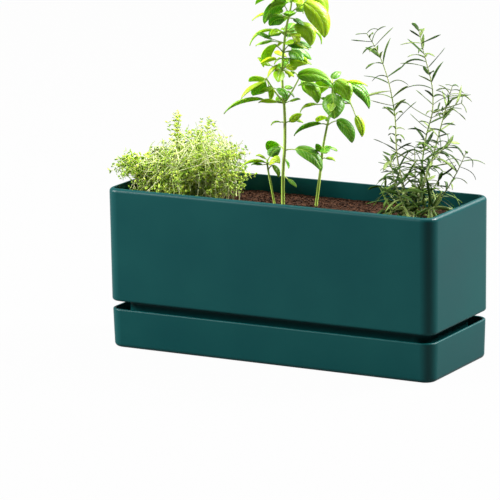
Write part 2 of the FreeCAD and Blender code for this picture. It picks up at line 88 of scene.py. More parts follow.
def addNode(material, kind, settings=None, links=None):
    node = material.node_tree.nodes.new(kind)
    for name, value in (settings or {}).items():
        if name == "stops":
            setStops(node.color_ramp.elements, value)
        elif isinstance(name, int) or name in node.inputs:
            node.inputs[name].default_value = value
        else:
            setattr(node, name, value)
    for name, source in (links or {}).items():
        material.node_tree.links.new(source, node.inputs[name])
    return node


def newMaterial(name):
    material = bpy.data.materials.new(name)
    material.use_nodes = True
    material.node_tree.nodes.clear()
    return material


def finishMaterial(material, shader):
    addNode(material, "ShaderNodeOutputMaterial", links={"Surface": shader.outputs[0]})
    return material


def giveMaterial(piece, material):
    piece.data.materials.clear()
    piece.data.materials.append(material)


# Mesh helpers

def linkNew(name, data):
    piece = bpy.data.objects.new(name, data)
    bpy.context.scene.collection.objects.link(piece)
    return piece


def dressPiece(piece, material):
    giveMaterial(piece, material)
    piece.data.shade_smooth()
    return piece


def meshOfCopies(name, copies, faces, material):
    # one mesh of all the copies of a shape, each given by its own points
    size = len(copies[0])
    corners = [tuple(size * k + corner for corner in face)
               for k in range(len(copies)) for face in faces]
    mesh = bpy.data.meshes.new(name)
    mesh.from_pydata(np.concatenate(copies).tolist(), [], corners)
    mesh.update()
    return dressPiece(linkNew(name, mesh), material)


def keepShape(piece):
    # the points and faces of a model built here, which copies are made from
    mesh = piece.data
    points = np.zeros(len(mesh.vertices) * 3)
    mesh.vertices.foreach_get("co", points)
    faces = [tuple(face.vertices) for face in mesh.polygons]
    bpy.data.objects.remove(piece)
    return points.reshape(-1, 3), faces


def deselectAll():
    bpy.ops.object.select_all(action="DESELECT")


def onlyPiece(piece):
    deselectAll()
    piece.select_set(True)
    bpy.context.view_layer.objects.active = piece


def named(name):
    # the primitive that was just added
    piece = bpy.context.active_object
    piece.name = name
    return piece


def editWhole(piece):
    onlyPiece(piece)
    bpy.ops.object.mode_set(mode="EDIT")
    bpy.ops.mesh.select_all(action="SELECT")


def leaveEdit():
    bpy.ops.object.mode_set(mode="OBJECT")


def weld(piece, distance):
    editWhole(piece)
    bpy.ops.mesh.remove_doubles(threshold=distance)
    leaveEdit()


def pullThick(height):
    # the selected sheet, drawn out to a closed slab
    bpy.ops.mesh.extrude_region_move(TRANSFORM_OT_translate={"value": (0, 0, height)})
    bpy.ops.mesh.select_all(action="SELECT")
    bpy.ops.mesh.normals_make_consistent(inside=False)
    leaveEdit()


def thickShape(piece):
    # a flat leaf shape, given its skin
    solid = piece.modifiers.new("thickness", "SOLIDIFY")
    solid.thickness = unitSkin
    solid.offset = -1
    bpy.ops.object.modifier_apply(modifier=solid.name)
    return keepShape(piece)


def tubes(name, paths, sides, material):
    # each path: a list of (point, radius); one curve, turned into a mesh of capped tubes
    curve = bpy.data.curves.new(name, "CURVE")
    curve.dimensions = "3D"
    curve.bevel_depth = 1
    curve.bevel_resolution = max(0, (sides - 4) // 2)
    curve.use_fill_caps = True
    curve.resolution_u = 4
    for path in paths:
        spline = curve.splines.new("NURBS")
        spline.points.add(len(path) - 1)
        for knot, (point, radius) in zip(spline.points, path):
            knot.co = (*point, 1)
            knot.radius = radius
        spline.order_u = 3
        spline.use_endpoint_u = True
    onlyPiece(linkNew(name, curve))
    bpy.ops.object.convert(target="MESH")
    return dressPiece(bpy.context.view_layer.objects.active, material)


def unit(vectors):
    return vectors / np.linalg.norm(vectors, axis=-1, keepdims=True)


def curvePoint(path, t):
    start, middle, end = path
    return start * (1 - t) ** 2 + middle * (2 * t * (1 - t)) + end * t ** 2


def curveWay(path, t):
    start, middle, end = path
    return unit((middle - start) * (2 * (1 - t)) + (end - middle) * (2 * t) + speck)


def spreadLeaves(name, shape, leaves, material):
    # shape: a leaf 1 long and 1 wide, along +Y from the origin; each copy is bent to its own curve
    points, faces = shape
    across, t, skin = points[:, 0:1], points[:, 1:2], points[:, 2:3]
    copies = []
    for leaf in leaves:
        path = [np.array(leaf[key]) for key in ("root", "bend", "tip")]
        way = curveWay(path, t)
        side = unit(leaf["side"] - way * np.sum(leaf["side"] * way, axis=1, keepdims=True))
        face = np.cross(side, way)
        droop = leaf.get("droop", 0) * leaf["width"] * (2 * across) ** 2
        twist = leaf.get("twist", 0) * t
        turned = side * np.cos(twist) + face * np.sin(twist)
        up = face * np.cos(twist) - side * np.sin(twist)
        copies.append(curvePoint(path, t) + turned * across * leaf["width"]
                      + up * (skin * leaf["thick"] / unitSkin - droop))
    piece = meshOfCopies(name, copies, faces, material)
    mesh = piece.data
    # each leaf's tone, which for thyme also carries painted shade near the soil
    tones = np.repeat([leaf["tone"] for leaf in leaves], len(points))
    mesh.attributes.new("leafTone", "FLOAT", "POINT").data.foreach_set("value", tones)
    corners = np.zeros(len(mesh.loops), int)
    mesh.loops.foreach_get("vertex_index", corners)
    flat = points[corners % len(points), :2] + [0.5, 0]
    mesh.uv_layers.new(name="leafMap").data.foreach_set("uv", flat.ravel())
    return piece


def place(piece, body, slot, *nodes):
    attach(piece, body)
    if nodes:
        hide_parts(*nodes)


def eitherSide(draw, most):
    return draw.uniform(-most, most)


# The planter: injection-moulded polypropylene with a fine satin grain,
# which gives a soft broad sheen and no sharp reflections

plasticFinish = {
    "colours": ((0.3, "#033F40"), (0.8, "#084645")),
    "cloudSizeMm": 90,
    "cloudSpan": (0.3, 0.7),   # between these values of the clouds the roughness changes
    "grainMm": 1.2,      # the real grain is about 0.2 mm, drawn coarser so that it shows
    "grainDepthMm": 0.02,
    "grainStrength": 0.35,
    "roughness": (0.33, 0.40),
    "ior": 1.49,
    "shine": 0.16,
}


def satinPlastic():
    s = plasticFinish
    (low, high), (smooth, rough) = s["cloudSpan"], s["roughness"]
    material = newMaterial("satinMouldedPolypropylene")
    where = addNode(material, "ShaderNodeTexCoord").outputs["Object"]
    clouds = addNode(material, "ShaderNodeTexNoise",
                     {"Scale": 1000 / s["cloudSizeMm"], "Detail": 3}, {"Vector": where})
    grain = addNode(material, "ShaderNodeTexNoise",
                    {"Scale": 1000 / s["grainMm"], "Detail": 2}, {"Vector": where})
    colour = addNode(material, "ShaderNodeValToRGB", {"stops": s["colours"]},
                     {"Fac": clouds.outputs["Fac"]})
    satin = addNode(material, "ShaderNodeMapRange",
                    {"From Min": low, "From Max": high, "To Min": smooth, "To Max": rough},
                    {"Value": clouds.outputs["Fac"]})
    bump = addNode(material, "ShaderNodeBump",
                   {"Strength": s["grainStrength"], "Distance": s["grainDepthMm"] * mm},
                   {"Height": grain.outputs["Fac"]})
    shader = addNode(material, "ShaderNodeBsdfPrincipled",
                     {"IOR": s["ior"], "Specular IOR Level": s["shine"]},
                     {"Base Color": colour.outputs["Color"], "Roughness": satin.outputs["Result"],
                      "Normal": bump.outputs["Normal"]})
    return finishMaterial(material, shader)


plastic = satinPlastic()
for node in ("saucer", "pot"):
    giveMaterial(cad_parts[node], plastic)
print("planter finished")


# Potting soil: the block in the pot, the loose layer over the root balls, and crumbs on it.
# It is moist peat, rough and almost without shine, dark between its paler crumbs.

soilLook = {
    "blockRough": (2.4, 0.3),                # the surface's step and its dents' depth in mm
    "rootRough": (2, 0.6),
    "dentMiddle": 0.75,
    "dents": ((160, 0.5), (420, 0.25)),      # how many to the metre, and how strong
    "layerStepMm": 1.6,
    "layerLiftMm": 1.3,
    "layerThickMm": 3,
    "cornerMm": 9,
    "wallGapMm": 0.6,
    "waveMm": 0.825,
    "waves": ((45, 1), (130, 0.6), (380, 0.45)),
    "weldMm": 0.01,
    "crumbs": 4200,
    "crumbMm": (0.9, 3),
    "crumbShrink": (0.6, 1),
    "crumbUneven": (0.8, 1.2),
    "crumbWallGapMm": 6,
    "crumbSink": 0.25,                       # a crumb's middle stands this share of its size up
    "crumbFlat": ((0.7, 1.3), (0.7, 1.3), (0.5, 0.9)),
    "lumpMm": 5,
    "lumpRough": 0.8,
    "gritMm": 2.2,
    "grit": 0.35,
    "relief": 0.9,
    "reliefMm": 0.8,
    "roughness": 0.95,
    "shine": 0.05,
    "darks": ((0.45, "#0A0604"), (0.62, "#21140D")),
    "pale": (0.84, "#4D3324"),
    "rootPale": (0.84, "#B59A74"),           # fine roots thread the root balls
    "seed": 11,
}


def soilMaterial(name, pale):
    s = soilLook
    material = newMaterial(name)
    where = addNode(material, "ShaderNodeTexCoord").outputs["Object"]
    lumps = addNode(material, "ShaderNodeTexNoise",
                    {"Scale": 1000 / s["lumpMm"], "Detail": 8, "Roughness": s["lumpRough"]},
                    {"Vector": where})
    grit = addNode(material, "ShaderNodeTexVoronoi", {"Scale": 1000 / s["gritMm"]},
                   {"Vector": where})
    mixed = addNode(material, "ShaderNodeMath", {"operation": "MULTIPLY_ADD", 1: s["grit"]},
                    {0: grit.outputs["Color"], 2: lumps.outputs["Fac"]})
    colour = addNode(material, "ShaderNodeValToRGB", {"stops": (*s["darks"], pale)},
                     {"Fac": mixed.outputs[0]})
    bump = addNode(material, "ShaderNodeBump",
                   {"Strength": s["relief"], "Distance": s["reliefMm"] * mm},
                   {"Height": mixed.outputs[0]})
    shader = addNode(material, "ShaderNodeBsdfPrincipled",
                     {"Roughness": s["roughness"], "Specular IOR Level": s["shine"]},
                     {"Base Color": colour.outputs["Color"], "Normal": bump.outputs["Normal"]})
    return finishMaterial(material, shader)


def ripple(spot, waves):
    # noise of several sizes added up
    return sum(strength * noise.noise(spot * often) for often, strength in waves)


def roughCopy(node, name, rough, material):
    # the node's own shape, remeshed and roughened
    s = soilLook
    stepMm, dentMm = rough
    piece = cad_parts[node].copy()
    piece.data = piece.data.copy()
    piece.name = piece.data.name = name
    piece.parent = None
    for key in list(piece.keys()):
        del piece[key]
    bpy.context.scene.collection.objects.link(piece)
    weld(piece, s["weldMm"] * mm)
    remesh = piece.modifiers.new("crumble", "REMESH")
    remesh.mode = "VOXEL"
    remesh.voxel_size = stepMm * mm
    bpy.ops.object.modifier_apply(modifier=remesh.name)
    mesh = piece.data
    points, normals = np.zeros((2, len(mesh.vertices), 3))
    mesh.vertices.foreach_get("co", points.ravel())
    mesh.vertex_normals.foreach_get("vector", normals.ravel())
    sinks = [s["dentMiddle"] + ripple(Vector(point), s["dents"]) for point in points]
    points -= normals * np.array(sinks)[:, None] * (dentMm * mm)
    mesh.vertices.foreach_set("co", points.ravel())
    mesh.update()
    return dressPiece(piece, material)


def soilHeight(x, y):
    s = soilLook
    return soilTop + (s["layerLiftMm"] + s["waveMm"] * ripple(Vector((x, y, 0)), s["waves"])) * mm


def soilLayer(material):
    # a loose layer with rounded corners that fits the pot's inside
    s = soilLook
    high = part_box("potting_soil")[1]
    length, width = (2 * side - 2 * s["wallGapMm"] * mm for side in (high.x, high.y))
    insideX, insideY = (side / 2 - s["cornerMm"] * mm for side in (length, width))
    deselectAll()
    bpy.ops.mesh.primitive_grid_add(x_subdivisions=round(length / (s["layerStepMm"] * mm)),
                                    y_subdivisions=round(width / (s["layerStepMm"] * mm)), size=1)
    piece = named("looseSoil")
    for vertex in piece.data.vertices:
        x, y = vertex.co.x * length, vertex.co.y * width
        overX, overY = abs(x) - insideX, abs(y) - insideY
        if overX > 0 and overY > 0:   # pull the corner onto its arc
            pull = max(overX, overY) / math.hypot(overX, overY)
            x = math.copysign(insideX + overX * pull, x)
            y = math.copysign(insideY + overY * pull, y)
        vertex.co = (x, y, soilHeight(x, y))
    editWhole(piece)
    pullThick(-s["layerThickMm"] * mm)
    return dressPiece(piece, material)


def soilCrumbs(material):
    s = soilLook
    draw = random.Random(s["seed"])
    deselectAll()
    bpy.ops.mesh.primitive_ico_sphere_add(subdivisions=1, radius=1)
    points, faces = keepShape(bpy.context.active_object)
    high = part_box("potting_soil")[1]
    gap = s["crumbWallGapMm"] * mm
    copies = []
    for _ in range(s["crumbs"]):
        size = draw.uniform(*s["crumbMm"]) / 2 * mm * draw.uniform(*s["crumbShrink"])
        x = draw.uniform(-1, 1) * (high.x - gap)
        y = draw.uniform(-1, 1) * (high.y - gap)
        angle = draw.uniform(0, fullTurn)
        axis = (draw.random(), draw.random(), draw.random() + 0.1)
        flat = np.array([draw.uniform(*sizes) for sizes in s["crumbFlat"]])
        grow = np.array([[draw.uniform(*s["crumbUneven"])] for _ in points])
        lump = (points * grow * flat) @ np.array(Matrix.Rotation(angle, 3, axis)) * size
        copies.append(lump + [x, y, soilHeight(x, y) + s["crumbSink"] * size])
    return meshOfCopies("soilCrumbs", copies, faces, material)


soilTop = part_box("potting_soil")[1].z
pottingSoil = soilMaterial("loosePottingSoil", soilLook["pale"])
rootMat = soilMaterial("rootsInSoil", soilLook["rootPale"])
place(roughCopy("potting_soil", "soilBlock", soilLook["blockRough"], pottingSoil),
      "pot", "soil", "potting_soil")
place(soilLayer(pottingSoil), "pot", "soil")
place(soilCrumbs(pottingSoil), "pot", "soil")
for herb in ("thyme", "basil", "rosemary"):
    place(roughCopy(herb + "_root_ball", herb + "RootBall", soilLook["rootRough"], rootMat),
          "pot", "root_ball", herb + "_root_ball")
print("soil and root balls filled in")


# Leaves and stems: thin living tissue that lets some light through,
# so that backlit ones glow yellow-green

def finishTissue(material, s, colour, height, strength, depths):
    # depths: how far red, green and blue light go into it, as shares of glowMm
    bump = addNode(material, "ShaderNodeBump",
                   {"Strength": strength, "Distance": s["bumpMm"] * mm}, {"Height": height})
    shader = addNode(material, "ShaderNodeBsdfPrincipled",
                     {"Roughness": s["roughness"], "IOR": 1.42, "Specular IOR Level": s["shine"],
                      "Subsurface Weight": s["glow"], "Subsurface Scale": s["glowMm"] * mm,
                      "Subsurface Radius": depths},
                     {"Base Color": colour, "Normal": bump.outputs["Normal"]})
    return finishMaterial(material, shader)


def drawVeins(material, colour, height, leafMap, s):
    # a pale rib along the middle and slanting veins on both sides of it, which also sink in
    split = addNode(material, "ShaderNodeSeparateXYZ", links={"Vector": leafMap}).outputs
    across = addNode(material, "ShaderNodeMath", {"operation": "SUBTRACT", 1: 0.5}, {0: split["X"]})
    aside = addNode(material, "ShaderNodeMath", {"operation": "ABSOLUTE"}, {0: across.outputs[0]})
    slant = addNode(material, "ShaderNodeMath", {"operation": "MULTIPLY_ADD", 1: -s["slant"]},
                    {0: aside.outputs[0], 2: split["Y"]})
    many = addNode(material, "ShaderNodeMath", {"operation": "MULTIPLY", 1: s["count"]},
                   {0: slant.outputs[0]})
    saw = addNode(material, "ShaderNodeMath", {"operation": "PINGPONG", 1: 0.5},
                  {0: many.outputs[0]})
    lines = [addNode(material, "ShaderNodeMapRange",
                     {"From Min": inner, "From Max": outer, "To Min": 1, "To Max": 0},
                     {"Value": value.outputs[0]}).outputs["Result"]
             for value, (inner, outer) in ((saw, s["vein"]), (aside, s["rib"]))]
    veins = addNode(material, "ShaderNodeMath", {"operation": "MAXIMUM"}, dict(enumerate(lines)))
    share = addNode(material, "ShaderNodeMath", {"operation": "MULTIPLY", 1: s["strength"]},
                    {0: veins.outputs[0]})
    mix = addNode(material, "ShaderNodeMix", {"data_type": "RGBA", 7: hexToLinear(s["colour"])},
                  {0: share.outputs[0], 6: colour})
    sunk = addNode(material, "ShaderNodeMath", {"operation": "MULTIPLY_ADD", 1: -1},
                   {0: veins.outputs[0], 2: height})
    return mix.outputs[2], sunk.outputs[0]


def leafMaterial(name, s):
    material = newMaterial(name)
    tone = addNode(material, "ShaderNodeAttribute", {"attribute_name": "leafTone"}).outputs["Fac"]
    where = addNode(material, "ShaderNodeTexCoord").outputs
    mottle = addNode(material, "ShaderNodeTexNoise", {"Scale": 1000 / s["mottleMm"], "Detail": 4},
                     {"Vector": where["Object"]})
    shade = addNode(material, "ShaderNodeMath", {"operation": "MULTIPLY_ADD", 1: s["mottle"]},
                    {0: mottle.outputs["Fac"], 2: tone})
    ramp = addNode(material, "ShaderNodeValToRGB", {"stops": s["colours"]},
                   {"Fac": shade.outputs[0]})
    colour, height = ramp.outputs["Color"], mottle.outputs["Fac"]
    if "veins" in s:
        colour, height = drawVeins(material, colour, height, where["UV"], s["veins"])
    return finishTissue(material, s, colour, height, strength=0.5, depths=(0.7, 1.0, 0.2))


stemSurface = {
    "streak": 0.25,      # the pattern's scale upwards, so its spots draw out into streaks
    "bumpMm": 0.1,
    "roughness": 0.5,
    "shine": 0.4,
    "glow": 0.15,
    "glowMm": 0.8,
}


def stemMaterial(name, look):
    # young skin, smooth and faintly streaked lengthwise
    s = stemSurface
    material = newMaterial(name)
    where = addNode(material, "ShaderNodeTexCoord").outputs["Object"]
    streak = addNode(material, "ShaderNodeMapping", {"Scale": (1, 1, s["streak"])},
                     {"Vector": where})
    spots = addNode(material, "ShaderNodeTexNoise", {"Scale": 1000 / look["spotMm"], "Detail": 4},
                    {"Vector": streak.outputs["Vector"]})
    ramp = addNode(material, "ShaderNodeValToRGB", {"stops": look["colours"]},
                   {"Fac": spots.outputs["Fac"]})
    return finishTissue(material, s, ramp.outputs["Color"], spots.outputs["Fac"], strength=0.3,
                        depths=(0.7, 1.0, 0.3))


def herbPlace(node):
    low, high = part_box(node)
    return np.array([(low.x + high.x) / 2, (low.y + high.y) / 2, soilTop])


# The herbs are laid out in the camera's view: right, back (away from it) and up
herbTurn = math.radians(28)
rightWay = np.array([math.cos(herbTurn), math.sin(herbTurn), 0])
backWay = np.array([-math.sin(herbTurn), math.cos(herbTurn), 0])
upWay = np.array([0, 0, 1.0])


def herbPoint(base, height, shares):
    right, back, up = shares
    return base + (rightWay * right + backWay * back + upWay * up) * height


def tapered(path, thick, thin):
    last = len(path) - 1
    return [(point, thick + (thin - thick) * k / last) for k, point in enumerate(path)]


def squareTo(way, turn):
    # a direction square to a stem, turned about it
    return np.array(Matrix.Rotation(turn, 3, Vector(way)) @ Vector(unit(np.cross(way, anyWay))))


def plantHerb(title, node, slot, grown, sides, shape, stemMat, leafMat):
    stems, leaves = grown
    place(tubes(title + "Stems", stems, sides, stemMat), "pot", slot, node)
    place(spreadLeaves(title + "Leaves", shape, leaves, leafMat), "pot", slot, node)
    print(title, "grown:", len(stems), "stems and", len(leaves), "leaves")


# Thyme: hundreds of tiny oval leaves in pairs on thin pale stems, a loose mound over the left end

thymeLook = {
    "height": 106 * mm,
    # the mound's height in its middle, its loss towards the edge, and its gain towards the right,
    # where the shoots stand up: they hang low over the left end
    "mound": (0.75, 0.35, 0.2),
    "middle": -12 * mm,      # the mound's middle, from the root ball's: it hangs over the left end
    "reach": {"left": 80 * mm, "right": 72 * mm, "side": 56 * mm},
    "kinds": (("shoot", 290), ("stray", 70), ("tuft", 18)),
    "lift": (0.5, 1),        # a tip's height, as a share of the mound's height there
    "crown": (0.3, 0.95),    # each shoot leaves the soil this share of the way to its tip's place
    "knee": (0.1, 0.5),      # where its middle stands on that way, and how high up
    "kneeLift": (0.5, 0.95),
    "sway": 10 * mm,
    # strays are long and bare at first; two of three lean out over the front of the left end
    "strayLift": (0.35, 1),
    "strayCrown": 0.75,
    "strayReach": (0.9, 1.17),
    "strayTurns": ((0, 0.5), (math.radians(208), 0.7), (math.radians(208), 0.7)),
    "strayRise": 0.24,       # those over the left end stand up by this share
    "strayBare": 0.6,
    "tufts": ((0.12, math.pi), (0.38, 0)),   # two taller bunches: how far out, and which way
    "tuftOut": 0.16,
    "tuftTurn": 0.2,
    "tuftHeight": 0.94,
    "tuftLift": (0.75, 1),
    "tangles": 230,          # bare pale stems from one place in the mound to another
    "tangle": {"from": (0.5, 0.95), "to": (0.15, 0.95), "low": (0.1, 1.0), "high": (0.6, 1.08),
               "turn": 1.1, "heart": 0.1, "arch": (0, 0.09), "thick": (0.7, 1.1)},
    "tangleMm": 0.52,
    "stemMm": 0.45,
    "stemPoints": 6,
    "thick": (0.7, 1.2),
    "wallGap": 8 * mm,       # stems keep this far from the pot's wall until they are over its rim
    "rimGap": 6 * mm,
    "bare": 0.14,            # the lowest part of a shoot has no leaves
    "pairMm": 8.5,
    "leafMm": (3.1, 6.2),
    "tipPart": 0.2,          # over this last part of a stem the leaves get this much smaller
    "tipLoss": 0.35,
    "leafWide": 0.66,
    "leafThickMm": 0.35,
    "leafArch": 0.12,
    "leafLean": (0.2, 0.9),
    "leafSpin": 0.4,
    "tone": (0, 0.9),
    # painted shade: leaves low in the mound get a darker tone, as if shaded by the leaves above
    "shade": (0.7, 0.3, 0.6),  # tone at the soil, what it gains above, and up to what height
    "stem": {"spotMm": 12, "colours": ((0.35, "#AABD68"), (0.55, "#E0E5AC"), (0.8, "#A08858"))},
    "leaf": {  # matt, pale yellow-green and thin enough to glow a little
        "colours": ((0, "#46620F"), (0.35, "#7E9F26"), (0.7, "#AFC742"), (1, "#D8E372")),
        "mottleMm": 3, "mottle": 0.2, "bumpMm": 0.1, "roughness": 0.55, "shine": 0.25,
        "glow": 0.3, "glowMm": 1},
    "seed": 5,
}


def ovalLeaf():
    # an oval of six corners, given a thickness
    deselectAll()
    bpy.ops.mesh.primitive_circle_add(vertices=6, radius=0.5, fill_type="TRIFAN")
    piece = named("ovalLeaf")
    editWhole(piece)
    bpy.ops.transform.translate(value=(0, 0.5, 0))
    pullThick(unitSkin)
    return keepShape(piece)


def moundPoint(out, turn, lift):
    # a place in the mound: how far out, which way round, and how high, all as shares
    s = thymeLook
    x, y = math.cos(turn) * out, math.sin(turn) * out
    x *= s["reach"]["right"] if x > 0 else s["reach"]["left"]
    return thymeBase + np.array([x + s["middle"], y * s["reach"]["side"], lift * s["height"]])


def moundHeight(out, turn):
    high, loss, gain = thymeLook["mound"]
    return high - loss * out ** 2 + gain * out * math.cos(turn)


def overRim(path):
    # a stem that ends beyond the left wall rises inside the pot and goes over the rim
    start, middle, end = path
    start[0] = max(start[0], nearWall)
    middle[0] = max(middle[0], nearWall)
    if end[0] < nearWall:
        middle[2] = max(middle[2], overRimHeight + 3 * thymeLook["rimGap"])
        end[2] = max(end[2], overRimHeight)
    return path


def stemAlong(path, radius, foot, loss):
    shares = np.linspace(0, 1, thymeLook["stemPoints"])
    return [(curvePoint(path, t), radius * (foot - loss * t)) for t in shares]


def tangleStem(draw):
    s, way = thymeLook, thymeLook["tangle"]
    turn, out = draw.uniform(0, 2 * math.pi), draw.uniform(*way["from"])
    far = draw.uniform(*way["to"])
    start = moundPoint(out, turn, moundHeight(out, turn) * draw.uniform(*way["low"]))
    turn += eitherSide(draw, way["turn"])
    end = moundPoint(far, turn, moundHeight(far, turn) * draw.uniform(*way["high"]))
    outward = start + end - 2 * moundPoint(0, 0, way["heart"])
    middle = (start + end) / 2 + outward * draw.uniform(*way["arch"])
    path = overRim((start, middle, end))
    return stemAlong(path, s["tangleMm"] * mm * draw.uniform(*way["thick"]), foot=1.1, loss=0.5)


def shootPath(draw, kind, k):
    s = thymeLook
    stray = kind == "stray"
    out = draw.uniform(*s["strayReach"]) if stray else math.sqrt(draw.random())
    turn = draw.uniform(0, 2 * math.pi)
    if stray:
        turn = draw.gauss(*s["strayTurns"][k % len(s["strayTurns"])])
    lift = moundHeight(out, turn) * draw.uniform(*s["strayLift" if stray else "lift"])
    if stray:
        lift += s["strayRise"] * max(0, -math.cos(turn))
    if kind == "tuft":
        out, turn = s["tufts"][k % len(s["tufts"])]
        out += eitherSide(draw, s["tuftOut"])
        turn += eitherSide(draw, s["tuftTurn"])
        lift = s["tuftHeight"] * draw.uniform(*s["tuftLift"])
    start = moundPoint(out * draw.uniform(*s["crown"]) * (s["strayCrown"] if stray else 1), turn, 0)
    end = moundPoint(out, turn, lift)
    middle = start + (end - start) * draw.uniform(*s["knee"])
    middle[2] = soilTop + s["height"] * lift * draw.uniform(*s["kneeLift"])
    middle = middle + np.array([draw.uniform(-1, 1), draw.uniform(-1, 1), 0]) * s["sway"]
    return overRim((start, middle, end))


def thymePair(draw, path, t, pair):
    # two opposite leaves, smaller near the stem's tip, and with painted shade that makes them
    # darker near the soil
    s = thymeLook
    root, way = curvePoint(path, t), curveWay(path, t)
    spread = squareTo(way, pair * math.pi / 2 + eitherSide(draw, s["leafSpin"]))
    late = max(0, t - (1 - s["tipPart"])) / s["tipPart"]
    size = draw.uniform(*s["leafMm"]) * mm * (1 - s["tipLoss"] * late)
    dark, lighter, full = s["shade"]
    # painted shade: the tone rises from its share at the soil to full at the given height
    paintedShadeLevel = dark + lighter * min(1, (root[2] - soilTop) / (full * s["height"]))
    leaves = []
    for sign in (1, -1):
        aim = unit(spread * sign + way * draw.uniform(*s["leafLean"]))
        tip = root + aim * size
        bend = (root + tip) / 2 + way * s["leafArch"] * size
        leaves.append({"root": root, "bend": bend, "tip": tip,
                       "side": np.cross(way, aim) + nudge, "width": s["leafWide"] * size,
                       "thick": s["leafThickMm"] * mm, "tone": paintedShadeLevel * draw.uniform(*s["tone"])})
    return leaves


def growThyme():
    s = thymeLook
    draw = random.Random(s["seed"])
    stems, leaves = [tangleStem(draw) for k in range(s["tangles"])], []
    for k, kind in enumerate(kind for kind, count in s["kinds"] for _ in range(count)):
        path = shootPath(draw, kind, k)
        thick = s["stemMm"] * mm * draw.uniform(*s["thick"])
        stems.append(stemAlong(path, thick, foot=1.2, loss=0.7))
        start, middle, end = path
        length = np.linalg.norm(middle - start) + np.linalg.norm(end - middle)
        pairs = max(2, int(length / (s["pairMm"] * mm)))
        for pair in range(pairs + 1):
            t = s["bare"] + (1 - s["bare"]) * pair / pairs
            if kind != "stray" or t >= s["strayBare"]:
                leaves += thymePair(draw, path, t, pair)
    return stems, leaves


thymeBase = herbPlace("thyme_root_ball")
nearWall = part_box("potting_soil")[0].x + thymeLook["wallGap"]
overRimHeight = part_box("pot")[1].z + thymeLook["rimGap"]
plantHerb("thyme", "thyme", "thyme_foliage", growThyme(), 4, ovalLeaf(),
          stemMaterial("paleThymeStem", thymeLook["stem"]),
          leafMaterial("mattThymeLeaf", thymeLook["leaf"]))


# Basil: satin ovate leaves that arch and cup downwards, on smooth green stems

basilLook = {
    "height": 280 * mm,
    "plants": {
        # points are (right, back, up) shares of the height; a branch is the height where it leaves
        # the stem, and its end; new leaves are the height where they sprout, and how many
        "main": {
            "node": "basil_main_plant",
            "radius": 2.1 * mm,
            "path": ((0, 0, 0), (0, 0, 0.14), (0.01, 0, 0.23), (0.012, 0, 0.34), (0.01, 0, 0.42),
                     (0, 0, 0.53), (0.01, 0, 0.64), (0.02, 0, 0.72), (0.04, 0, 0.8),
                     (0.05, 0, 0.87), (0.05, 0, 0.94)),
            "branches": ((0.42, (-0.06, 0.01, 0.52)), (0.42, (0.07, 0.01, 0.52))),
            "newLeaves": ((0.42, 3), (0.47, 3), (0.55, 6), (0.6, 5), (0.66, 7), (0.7, 6),
                          (0.76, 8), (0.83, 9), (0.9, 8), (0.935, 5)),
        },
        "side": {
            "node": "basil_side_plant",
            "radius": 1.8 * mm,
            "path": ((0.13, 0, 0), (0.14, 0, 0.07), (0.15, 0, 0.15), (0.16, 0, 0.24),
                     (0.17, 0, 0.29), (0.185, 0, 0.36), (0.2, 0, 0.43), (0.2, 0, 0.5)),
            "branches": ((0.42, (0.27, -0.01, 0.42)),),
            "newLeaves": ((0.24, 2), (0.36, 3), (0.43, 6), (0.48, 6)),
        },
        "sprout": {
            "node": "basil_sprout",
            "radius": 1.3 * mm,
            "path": ((-0.03, -0.02, 0), (-0.045, -0.02, 0.09), (-0.06, -0.02, 0.17),
                     (-0.06, -0.02, 0.2)),
            "branches": (),
            "newLeaves": ((0.18, 2),),
        },
    },
    "tipRadius": 0.9 * mm,
    "branchRadius": (1.1 * mm, 0.8 * mm),
    "branchSag": 3 * mm,
    "stalkRadius": 0.65 * mm,
    "stalkTaper": (1.15, 1, 0.8),
    "stalkArch": 1.5 * mm,
    "stalkInto": 0.06,    # the stalk runs on under the blade for this share of its length
    # the blade's outline, and the relief of its quilting and of the groove along its middle
    "blade": {"grid": (10, 16), "widest": 0.42, "foot": 0.5, "point": 0.7, "quilt": 1.6,
              "groove": 1.2, "grooveWide": 0.06},
    "leafThick": 0.5 * mm,
    "fullness": 1.3,      # the living blades are broader than their plain CAD ones
    "cup": 0.17,
    "cupSpread": (-0.05, 0.08),
    "twist": 0.3,
    "tone": (0, 0.76),
    # small new leaves; the turn is in radians round the stem, from each to the next
    "new": {"turn": 2.4, "mm": (9, 27), "out": (0.25, 0.75), "rise": (-0.1, 0.5),
            "hang": (-0.9, 0.2), "arch": (0.1, 0.4), "tilt": 0.6, "wide": (0.5, 0.72),
            "taper": 0.6, "tone": (0.1, 1)},
    "stem": {"spotMm": 8, "colours": ((0.3, "#97BC3C"), (0.7, "#C6DC72"))},
    "leaf": {  # satin and juicy, light green with paler veins
        "colours": ((0, "#387518"), (0.3, "#57950E"), (0.6, "#8FBC08"), (1, "#BFDC0C")),
        "mottleMm": 9, "mottle": 0.15, "bumpMm": 0.35, "roughness": 0.38, "shine": 0.5,
        "glow": 0.5, "glowMm": 2,
        "veins": {"count": 7, "slant": 0.62, "vein": (0, 0.09), "rib": (0.012, 0.04),
                  "strength": 0.6, "colour": "#BFE35A"}},
    "seed": 3,
}

